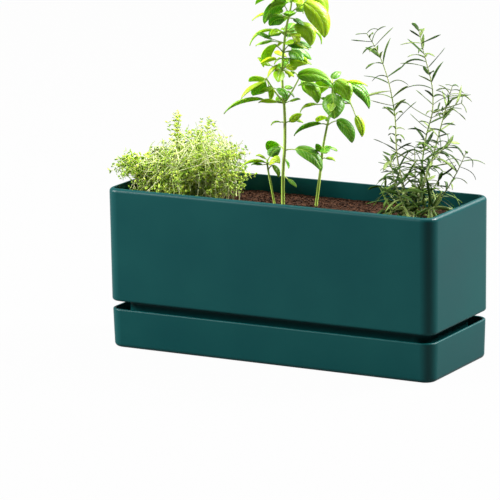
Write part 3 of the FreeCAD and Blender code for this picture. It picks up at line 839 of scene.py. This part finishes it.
# Each row: where the stalk leaves the stem, the blade's root and its tip, as (right, back, up)
# shares of the height, its arch and width as shares of its length, and its roll in degrees
basilLeafShares = {"main": (
    ((0, 0, 0.13), (0.02, -0.02, 0.12), (0.055, -0.04, 0.09), 0.1, 0.3, 20),
    ((0, 0, 0.16), (0.01, 0.02, 0.19), (0.025, 0.04, 0.15), 0.25, 0.5, 40),
    ((0.008, 0, 0.23), (0.05, -0.01, 0.24), (0.155, -0.05, 0.155), 0.2, 0.34, 45),
    ((0.008, 0, 0.23), (-0.01, 0.02, 0.25), (-0.06, 0.06, 0.22), 0.3, 0.5, 50),
    ((0.012, 0, 0.34), (-0.005, 0, 0.345), (-0.045, -0.01, 0.335), 0.25, 0.36, 10),
    ((0.012, 0, 0.34), (0.03, 0, 0.345), (0.08, 0.01, 0.375), 0.1, 0.45, 45),
    ((0.03, 0, 0.345), (0.05, 0.02, 0.35), (0.085, 0.035, 0.335), 0.15, 0.4, 30),
    ((0.01, 0, 0.42), (-0.07, -0.01, 0.44), (-0.23, -0.02, 0.385), 0.16, 0.25, 28),
    ((-0.06, 0.01, 0.52), (-0.06, 0.01, 0.515), (-0.13, 0.05, 0.5), 0.16, 0.4, 30),
    ((-0.06, 0.01, 0.52), (-0.065, -0.01, 0.51), (-0.16, -0.05, 0.45), 0.15, 0.3, 10),
    ((-0.06, 0.01, 0.52), (-0.06, 0.02, 0.5), (-0.115, 0.04, 0.445), 0.1, 0.55, 60),
    ((-0.06, 0.01, 0.52), (-0.05, 0, 0.49), (-0.045, -0.02, 0.435), 0.1, 0.45, 60),
    ((0.005, 0, 0.47), (-0.02, -0.03, 0.485), (0.02, -0.06, 0.44), 0.25, 0.4, 25),
    ((0.07, 0.01, 0.52), (0.06, -0.01, 0.53), (0.19, -0.04, 0.515), 0.14, 0.38, 52),
    ((0.07, 0.01, 0.52), (0.075, 0.03, 0.515), (0.115, 0.06, 0.435), 0.12, 0.5, 50),
    ((0.07, 0.01, 0.52), (0.09, 0, 0.5), (0.14, -0.015, 0.42), 0.2, 0.42, 55),
    ((0.07, 0.01, 0.52), (0.05, 0.01, 0.545), (0.03, 0.04, 0.515), 0.2, 0.4, 20),
    ((0, 0, 0.55), (-0.005, -0.01, 0.575), (-0.055, -0.04, 0.53), 0.25, 0.55, 35),
    ((0, 0, 0.55), (0.03, -0.015, 0.59), (0.105, -0.05, 0.585), 0.14, 0.5, 40),
    ((0, 0, 0.55), (0.06, 0.03, 0.59), (0.12, 0.05, 0.565), 0.15, 0.4, 30),
    ((0.008, 0, 0.62), (-0.015, -0.01, 0.655), (-0.07, -0.03, 0.57), 0.28, 0.5, 50),
    ((0.008, 0, 0.62), (0.025, 0.01, 0.65), (0.12, 0.03, 0.635), 0.14, 0.34, 35),
    ((0.008, 0, 0.62), (0.03, -0.02, 0.63), (0.085, -0.07, 0.6), 0.18, 0.52, 35),
    ((0.008, 0, 0.62), (0.04, 0.04, 0.625), (0.12, 0.08, 0.58), 0.15, 0.4, 45),
    ((0.015, 0, 0.69), (-0.01, 0, 0.71), (-0.125, 0.01, 0.65), 0.25, 0.28, 18),
    ((0.015, 0, 0.69), (0, 0.03, 0.7), (-0.045, 0.07, 0.675), 0.15, 0.5, 40),
    ((0.02, 0, 0.7), (0.05, -0.01, 0.73), (0.115, -0.03, 0.65), 0.3, 0.5, 55),
    ((0.02, 0, 0.7), (0.045, -0.03, 0.7), (0.07, -0.06, 0.67), 0.2, 0.5, 40),
    ((0.02, 0, 0.7), (0.1, 0.01, 0.72), (0.16, 0.02, 0.65), 0.25, 0.2, 20),
    ((0.03, 0, 0.77), (0.02, -0.015, 0.815), (-0.065, -0.05, 0.745), 0.25, 0.62, 50),
    ((0.03, 0, 0.77), (0.015, 0.03, 0.755), (-0.045, 0.06, 0.72), 0.15, 0.5, 50),
    ((0.03, 0, 0.77), (0.09, -0.02, 0.825), (0.17, -0.04, 0.685), 0.18, 0.4, 55),
    ((0.045, 0, 0.84), (0.03, 0.01, 0.86), (-0.1, 0.03, 0.81), 0.2, 0.35, 30),
    ((0.045, 0, 0.84), (0.035, -0.03, 0.85), (-0.05, -0.06, 0.8), 0.18, 0.48, 45),
    ((0.045, 0, 0.84), (0.055, 0.03, 0.845), (0.09, 0.07, 0.765), 0.15, 0.5, 60),
    ((0.045, 0, 0.84), (0.08, 0.02, 0.875), (0.18, 0.03, 0.755), 0.25, 0.38, 45),
    ((0.05, 0, 0.93), (0.035, -0.005, 0.94), (-0.03, -0.02, 0.92), 0.25, 0.55, 30),
    ((0.05, 0, 0.93), (0.065, 0.005, 0.94), (0.13, 0.02, 0.915), 0.25, 0.55, 30),
    ((0.05, 0, 0.93), (0.05, -0.015, 0.95), (0.045, -0.06, 0.96), 0.2, 0.55, 0),
    ((0.05, 0, 0.93), (0.05, 0.015, 0.955), (0.06, 0.06, 0.985), 0.15, 0.5, 0),
), "side": (
    ((0.157, 0, 0.22), (0.15, -0.01, 0.225), (0.132, -0.02, 0.26), 0.1, 0.55, 40),
    ((0.157, 0, 0.22), (0.17, 0.01, 0.225), (0.195, 0.02, 0.24), 0.15, 0.5, 40),
    ((0.155, 0, 0.195), (0.17, -0.01, 0.2), (0.21, -0.02, 0.19), 0.2, 0.35, 20),
    ((0.18, 0, 0.33), (0.155, -0.01, 0.34), (0.045, -0.03, 0.295), 0.18, 0.28, 35),
    ((0.18, 0, 0.33), (0.215, -0.01, 0.355), (0.275, -0.04, 0.265), 0.16, 0.36, 50),
    ((0.195, 0, 0.41), (0.14, 0, 0.415), (0.07, -0.01, 0.385), 0.25, 0.4, 25),
    ((0.2, 0, 0.45), (0.2, -0.03, 0.465), (0.205, -0.085, 0.37), 0.14, 0.62, 0),
    ((0.27, -0.01, 0.42), (0.29, -0.01, 0.37), (0.315, -0.02, 0.285), 0.12, 0.32, 50),
    ((0.2, 0, 0.49), (0.21, -0.01, 0.51), (0.26, -0.04, 0.435), 0.16, 0.55, 50),
    ((0.2, 0, 0.49), (0.26, 0.01, 0.495), (0.345, 0.02, 0.39), 0.2, 0.32, 50),
    ((0.2, 0, 0.49), (0.19, 0.02, 0.515), (0.15, 0.05, 0.445), 0.16, 0.5, 55),
    ((0.2, 0, 0.49), (0.2, 0.03, 0.51), (0.235, 0.08, 0.53), 0.15, 0.4, 20),
    ((0.27, -0.01, 0.42), (0.255, 0.02, 0.455), (0.27, 0.05, 0.405), 0.2, 0.4, 45),
), "sprout": (
    ((-0.06, -0.02, 0.18), (-0.068, -0.025, 0.19), (-0.17, -0.06, 0.172), 0.2, 0.24, 28),
    ((-0.06, -0.02, 0.19), (-0.065, -0.01, 0.2), (-0.105, 0.01, 0.21), 0.2, 0.45, 35),
    ((-0.06, -0.02, 0.18), (-0.05, -0.025, 0.19), (-0.01, -0.055, 0.19), 0.35, 0.6, 40),
    ((-0.06, -0.02, 0.19), (-0.05, -0.015, 0.21), (-0.005, 0.02, 0.24), 0.15, 0.55, 45),
    ((-0.055, -0.02, 0.16), (-0.04, -0.03, 0.18), (-0.015, -0.04, 0.13), 0.2, 0.35, 25),
)}


def bulge(t):
    # the leaf's outline, round at its foot and drawn out to a point
    s = basilLook["blade"]
    return max(t, 0) ** s["foot"] * max(1 - t, 0) ** s["point"]


def basilBlade():
    # a grid shaped to the outline row by row, quilted between its veins, and given a skin
    s, veins = basilLook["blade"], basilLook["leaf"]["veins"]
    across, along = s["grid"]
    deselectAll()
    bpy.ops.mesh.primitive_grid_add(x_subdivisions=across, y_subdivisions=along, size=1)
    piece = named("basilBlade")
    for vertex in piece.data.vertices:
        x, t = vertex.co.x, vertex.co.y + 0.5
        phase = (t - veins["slant"] * abs(x)) * veins["count"] * math.pi
        quilt = math.sin(phase) ** 2 * math.sin(math.pi * min(1, 2 * abs(x)))
        groove = math.exp(-(x / s["grooveWide"]) ** 2)
        wide = bulge(t) / bulge(s["widest"])
        vertex.co = (x * wide, t, unitSkin * (s["quilt"] * quilt * wide - s["groove"] * groove))
    weld(piece, unitWeld)
    return thickShape(piece)


def nearestOnPath(path, level):
    for low, high in zip(path, path[1:]):
        if high[2] >= level:
            return low + (high - low) * max(0, (level - low[2]) / (high[2] - low[2]))
    return path[-1]


def stalkedLeaf(draw, base, row):
    # a large blade, placed as the photograph shows it
    s = basilLook
    leave, root, tip = (herbPoint(base, s["height"], shares) for shares in row[:3])
    arch, wide, roll = row[3:]
    length = np.linalg.norm(tip - root)
    forward = unit(tip - root)
    flat = unit(np.cross(forward, upWay))
    above = np.cross(flat, forward)
    side = np.array(Matrix.Rotation(math.radians(roll), 3, Vector(forward)) @ Vector(flat))
    spots = (leave, (leave + root) / 2 + upWay * s["stalkArch"],
             root + forward * s["stalkInto"] * length)
    stalk = [(spot, s["stalkRadius"] * share) for spot, share in zip(spots, s["stalkTaper"])]
    bend = (root + tip) / 2 + above * 2 * arch * length
    return stalk, {"root": root, "bend": bend, "tip": tip, "side": side,
                   "width": wide * length * s["fullness"], "thick": s["leafThick"],
                   "droop": s["cup"] + draw.uniform(*s["cupSpread"]),
                   "twist": eitherSide(draw, s["twist"]), "tone": draw.uniform(*s["tone"])}


def newLeaf(draw, node, turn):
    s, new = basilLook, basilLook["new"]
    out = np.array([math.cos(turn), math.sin(turn), draw.uniform(*new["rise"])])
    length = draw.uniform(*new["mm"]) * mm
    root = node + out * draw.uniform(*new["out"]) * length
    tip = root + unit(out + upWay * draw.uniform(*new["hang"])) * length
    bend = (root + tip) / 2 + upWay * draw.uniform(*new["arch"]) * length
    side = unit(np.cross(tip - root, upWay)) + upWay * eitherSide(draw, new["tilt"])
    radius, into = s["stalkRadius"], root + (tip - root) * s["stalkInto"]
    stalk = [(node, radius), (into, radius * new["taper"])]
    return stalk, {"root": root, "bend": bend, "tip": tip, "side": side,
                   "width": draw.uniform(*new["wide"]) * length, "thick": s["leafThick"],
                   "droop": s["cup"], "tone": draw.uniform(*new["tone"])}


def growBasil(plant, rows, count):
    s = basilLook
    draw = random.Random(s["seed"] + count)
    base = herbPlace("basil_root_ball")
    path = [herbPoint(base, s["height"], row) for row in plant["path"]]
    stems = [tapered(path, plant["radius"], s["tipRadius"])]
    for height, end in plant["branches"]:
        leave = min(path, key=lambda point: abs(point[2] - soilTop - height * s["height"]))
        end = herbPoint(base, s["height"], end)
        half = (leave + end) / 2 - upWay * s["branchSag"]
        stems.append(tapered((leave, half, end), *s["branchRadius"]))
    grown = [stalkedLeaf(draw, base, row) for row in rows]
    for height, number in plant["newLeaves"]:
        node = nearestOnPath(path, soilTop + height * s["height"])
        first = draw.uniform(0, fullTurn)
        grown += [newLeaf(draw, node, first + s["new"]["turn"] * k) for k in range(number)]
    return stems + [stalk for stalk, leaf in grown], [leaf for stalk, leaf in grown]


basilStemMat = stemMaterial("smoothBasilStem", basilLook["stem"])
basilLeafMat = leafMaterial("satinBasilLeaf", basilLook["leaf"])
blade = basilBlade()
for count, (name, plant) in enumerate(basilLook["plants"].items()):
    plantHerb("basil" + name.capitalize(), plant["node"], "basil_foliage",
              growBasil(plant, basilLeafShares[name], count), 8, blade, basilStemMat, basilLeafMat)


# Rosemary: pairs of long narrow curved leaves on pale stems, dense at the foot

rosemaryLook = {
    "height": 216 * mm,
    "stemMm": (1.05, 0.45),
    "stepMm": 7.8,
    "foot": 0.2,           # up to this share of the height the leaves stand closer
    "missing": 0.12,       # this share of the leaves has dropped off
    "spin": 0.7,
    "rise": (0.1, 1.1),    # how steeply a leaf starts, and how its outer half then turns up or down
    "fall": (-1.1, 0.6),
    "ahead": 0.1,
    # the leaf's shape: its width at the foot, how fast it widens and narrows, its raised back
    "strip": {"grid": (2, 7), "foot": 0.25, "widen": 3.1, "narrow": 4, "back": 0.6},
    "leafMm": (16, 37),
    "tipLeaf": 0.6,
    "wideMm": (2.0, 4.2),
    "thickMm": 0.45,
    "twist": 0.9,
    "tone": (0, 0.9),
    "edgeGap": 4 * mm,     # the leaves bend back this far inside the planter's own outer box
    "stem": {"spotMm": 10, "colours": ((0.3, "#7C9550"), (0.65, "#B9C289"), (0.85, "#8E7850"))},
    "leaf": {  # matt and leathery, dark grey-green
        "colours": ((0, "#172405"), (0.35, "#2F4E0C"), (0.7, "#546E28"), (1, "#8A9C58")),
        "mottleMm": 6, "mottle": 0.2, "bumpMm": 0.15, "roughness": 0.5, "shine": 0.18,
        "glow": 0.2, "glowMm": 1},
    "seed": 8,
}

# Shoots: paths of (right, back, up) shares of the rosemary's height
rosemaryShootShares = (
    ((0.01, -0.02, 0.01), (-0.03, -0.04, 0.18), (-0.06, -0.04, 0.29), (-0.07, -0.04, 0.4),
     (-0.07, -0.03, 0.51), (-0.08, -0.02, 0.59), (-0.1, -0.01, 0.7), (-0.13, 0, 0.8),
     (-0.17, 0.01, 0.89), (-0.21, 0.02, 0.95)),
    ((0.03, 0.02, 0.01), (0.06, 0.04, 0.23), (0.07, 0.05, 0.34), (0.09, 0.05, 0.45),
     (0.12, 0.05, 0.54), (0.12, 0.04, 0.67), (0.09, 0.03, 0.79), (0.07, 0.02, 0.86),
     (0.05, 0.02, 0.96)),
    ((0.04, -0.01, 0.01), (0.14, -0.03, 0.1), (0.19, -0.04, 0.17), (0.23, -0.04, 0.24),
     (0.26, -0.04, 0.3), (0.28, -0.04, 0.35)),
    ((0.02, -0.03, 0.01), (0.07, -0.08, 0.25), (0.13, -0.11, 0.36), (0.2, -0.13, 0.42)),
    ((0.12, 0.05, 0.54), (0.2, 0.04, 0.57), (0.26, 0.03, 0.59)),
    ((0.02, 0.03, 0.01), (0.12, 0.1, 0.3), (0.16, 0.12, 0.45), (0.19, 0.13, 0.56),
     (0.22, 0.13, 0.66)),
    ((-0.01, -0.03, 0.01), (-0.05, -0.1, 0.14), (-0.09, -0.13, 0.25), (-0.1, -0.14, 0.36)),
    ((0.02, 0, 0.01), (0.03, 0, 0.2), (0.025, 0.01, 0.37)),
    ((0.03, 0.03, 0.01), (0.13, 0.1, 0.14), (0.17, 0.14, 0.22)),
    ((-0.02, 0.03, 0.01), (-0.08, 0.09, 0.1), (-0.14, 0.12, 0.15)),
    ((-0.02, -0.02, 0.01), (-0.06, -0.09, 0.07), (-0.13, -0.12, 0.09)),
    ((0.03, -0.03, 0.01), (0.09, -0.11, 0.08), (0.12, -0.16, 0.1)),
    ((0, 0.03, 0.01), (-0.03, 0.1, 0.17), (-0.08, 0.15, 0.27)),
)


def narrowLeaf():
    # a thin strip with a narrow foot, a pointed tip and a raised back
    s = rosemaryLook["strip"]
    across, along = s["grid"]
    deselectAll()
    bpy.ops.mesh.primitive_grid_add(x_subdivisions=across, y_subdivisions=along, size=1)
    piece = named("narrowLeaf")
    for vertex in piece.data.vertices:
        t = vertex.co.y + 0.5
        x = vertex.co.x * min(s["foot"] + s["widen"] * t, 1, s["narrow"] * (1 - t))
        onBack = abs(x) < 0.01 and 0 < t < 1
        vertex.co = (x, t, s["back"] * unitSkin if onBack else 0)
    weld(piece, unitWeld)
    return thickShape(piece)


def pairShares(path):
    # where along a shoot its leaf pairs stand: at even steps, and twice as close low down
    s = rosemaryLook
    length = sum(np.linalg.norm(b - a) for a, b in zip(path, path[1:]))
    height, foot = path[-1][2] - soilTop, s["foot"] * s["height"]
    count = int(length / (s["stepMm"] * mm))
    between = [(pair - 0.5) / count for pair in range(1, count // 2 if height > foot else count)]
    return ([pair / count for pair in range(1, count + 1)]
            + [share for share in between if share * height < foot])


def rosemaryPair(draw, room, root, way, pair, size):
    s = rosemaryLook
    spread = squareTo(way, pair * fullTurn / 4 + eitherSide(draw, s["spin"]))
    leaves = []
    for sign in (1, -1):
        if draw.random() < s["missing"]:
            continue
        length = draw.uniform(*s["leafMm"]) * mm * size
        aim = unit(spread * sign + way * draw.uniform(*s["rise"]))
        late = unit(spread * sign + upWay * draw.uniform(*s["fall"]) + way * s["ahead"])
        bend = np.clip(root + aim * 0.5 * length, *room)
        tip = np.clip(bend + late * 0.5 * length, *room)
        leaves.append({"root": root, "bend": bend, "tip": tip, "side": np.cross(way, aim) + nudge,
                       "width": draw.uniform(*s["wideMm"]) * mm, "thick": s["thickMm"] * mm,
                       "twist": eitherSide(draw, s["twist"]), "tone": draw.uniform(*s["tone"])})
    return leaves


def growRosemary():
    s = rosemaryLook
    draw = random.Random(s["seed"])
    base = herbPlace("rosemary_root_ball")
    room = np.array(cadBox[0]) + s["edgeGap"], np.array(cadBox[1]) - s["edgeGap"]
    stems, leaves = [], []
    for rows in rosemaryShootShares:
        path = [herbPoint(base, s["height"], row) for row in rows]
        last = len(path) - 1
        stems.append(tapered(path, *(size * mm for size in s["stemMm"])))
        for pair, share in enumerate(pairShares(path), 1):
            along = share * last
            k = min(int(along), last - 1)
            root = path[k] + (path[k + 1] - path[k]) * (along - k)
            way = unit(path[k + 1] - path[k])
            leaves += rosemaryPair(draw, room, root, way, pair, s["tipLeaf"] if share == 1 else 1)
    return stems, leaves


plantHerb("rosemary", "rosemary", "rosemary_foliage", growRosemary(), 6, narrowLeaf(),
          stemMaterial("paleRosemaryStem", rosemaryLook["stem"]),
          leafMaterial("mattNarrowLeaf", rosemaryLook["leaf"]))


# Studio: a pale floor, a white surround, soft lamps, and the camera at the photograph's place

studio = {
    "floorSize": 12,
    "floorColour": "#707070",
    "floorGlow": 0.98,
    "surround": "#C9CCCE",
    "surroundStrength": 0.15,
    "mirrored": 0.3,       # how much of the white floor and surround the satin plastic mirrors
    "lamps": (
        # name, place, size, watts
        ("softboxLeft", (-2.1, -1.3, 1.4), 1.2, 160),
        ("softboxRight", (1.55, 1.45, 2.0), 1.1, 222),
        ("softboxBack", (0.7, 2.0, 1.6), 1.5, 30),
        ("softboxTop", (-0.2, 0.3, 2.2), 1.5, 34),
    ),
    "target": (0, 0, 0.12),
}

cameraLook = {
    "place": (1.9405, -3.6311, 1.0171),
    "headingDegrees": 28.846,
    "downDegrees": 12.342,
    "rollDegrees": -0.789,
    "lensMm": 273.37,
    "sensorMm": 36,
    "farEnd": 50,
}


def whiteShare(material):
    # the camera sees floor and surround plain white, and the satin plastic mirrors a part of that
    rays = addNode(material, "ShaderNodeLightPath").outputs
    glossy = addNode(material, "ShaderNodeMath", {"operation": "MULTIPLY", 1: studio["mirrored"]},
                     {0: rays["Is Glossy Ray"]})
    seen = addNode(material, "ShaderNodeMath", {"operation": "MAXIMUM"},
                   {0: rays["Is Camera Ray"], 1: glossy.outputs[0]})
    return seen.outputs[0]


def whiteFloor():
    s = studio
    deselectAll()
    bpy.ops.mesh.primitive_plane_add(size=s["floorSize"])
    floor = named("floor")
    material = newMaterial("paleStudioFloor")
    shader = addNode(material, "ShaderNodeBsdfDiffuse", {"Color": hexToLinear(s["floorColour"])})
    white = addNode(material, "ShaderNodeEmission", {"Color": (1, 1, 1, 1), "Strength": 1})
    share = addNode(material, "ShaderNodeMath", {"operation": "MULTIPLY", 1: s["floorGlow"]},
                    {0: whiteShare(material)})
    mix = addNode(material, "ShaderNodeMixShader",
                  links={0: share.outputs[0], 1: shader.outputs[0], 2: white.outputs[0]})
    floor.data.materials.append(finishMaterial(material, mix))


def whiteSurround():
    s = studio
    world = bpy.data.worlds.new("studioSurround")
    bpy.context.scene.world = world
    world.use_nodes = True
    world.node_tree.nodes.clear()
    soft = addNode(world, "ShaderNodeBackground",
                   {"Color": hexToLinear(s["surround"]), "Strength": s["surroundStrength"]})
    white = addNode(world, "ShaderNodeBackground", {"Color": (1, 1, 1, 1), "Strength": 1})
    mix = addNode(world, "ShaderNodeMixShader",
                  links={0: whiteShare(world), 1: soft.outputs[0], 2: white.outputs[0]})
    addNode(world, "ShaderNodeOutputWorld", links={"Surface": mix.outputs[0]})


def softLamps():
    for name, spot, size, watts in studio["lamps"]:
        lamp = bpy.data.lights.new(name, "AREA")
        lamp.size = size
        lamp.energy = watts
        piece = linkNew(name, lamp)
        piece.location = spot
        aim = Vector(studio["target"]) - Vector(spot)
        piece.rotation_euler = aim.to_track_quat("-Z", "Y").to_euler()


def photoCamera():
    s = cameraLook
    camera = bpy.data.cameras.new("camera")
    camera.lens = s["lensMm"]
    camera.sensor_width = s["sensorMm"]
    camera.clip_end = s["farEnd"]
    piece = linkNew("camera", camera)
    piece.location = s["place"]
    turns = (s["headingDegrees"], "Z"), (90 - s["downDegrees"], "X"), (s["rollDegrees"], "Z")
    heading, tilt, roll = (Matrix.Rotation(math.radians(turn), 3, axis) for turn, axis in turns)
    piece.rotation_euler = (heading @ tilt @ roll).to_euler()
    bpy.context.scene.camera = piece


whiteFloor()
whiteSurround()
softLamps()
photoCamera()
bpy.context.scene.view_settings.view_transform = "Standard"
print("studio lit")
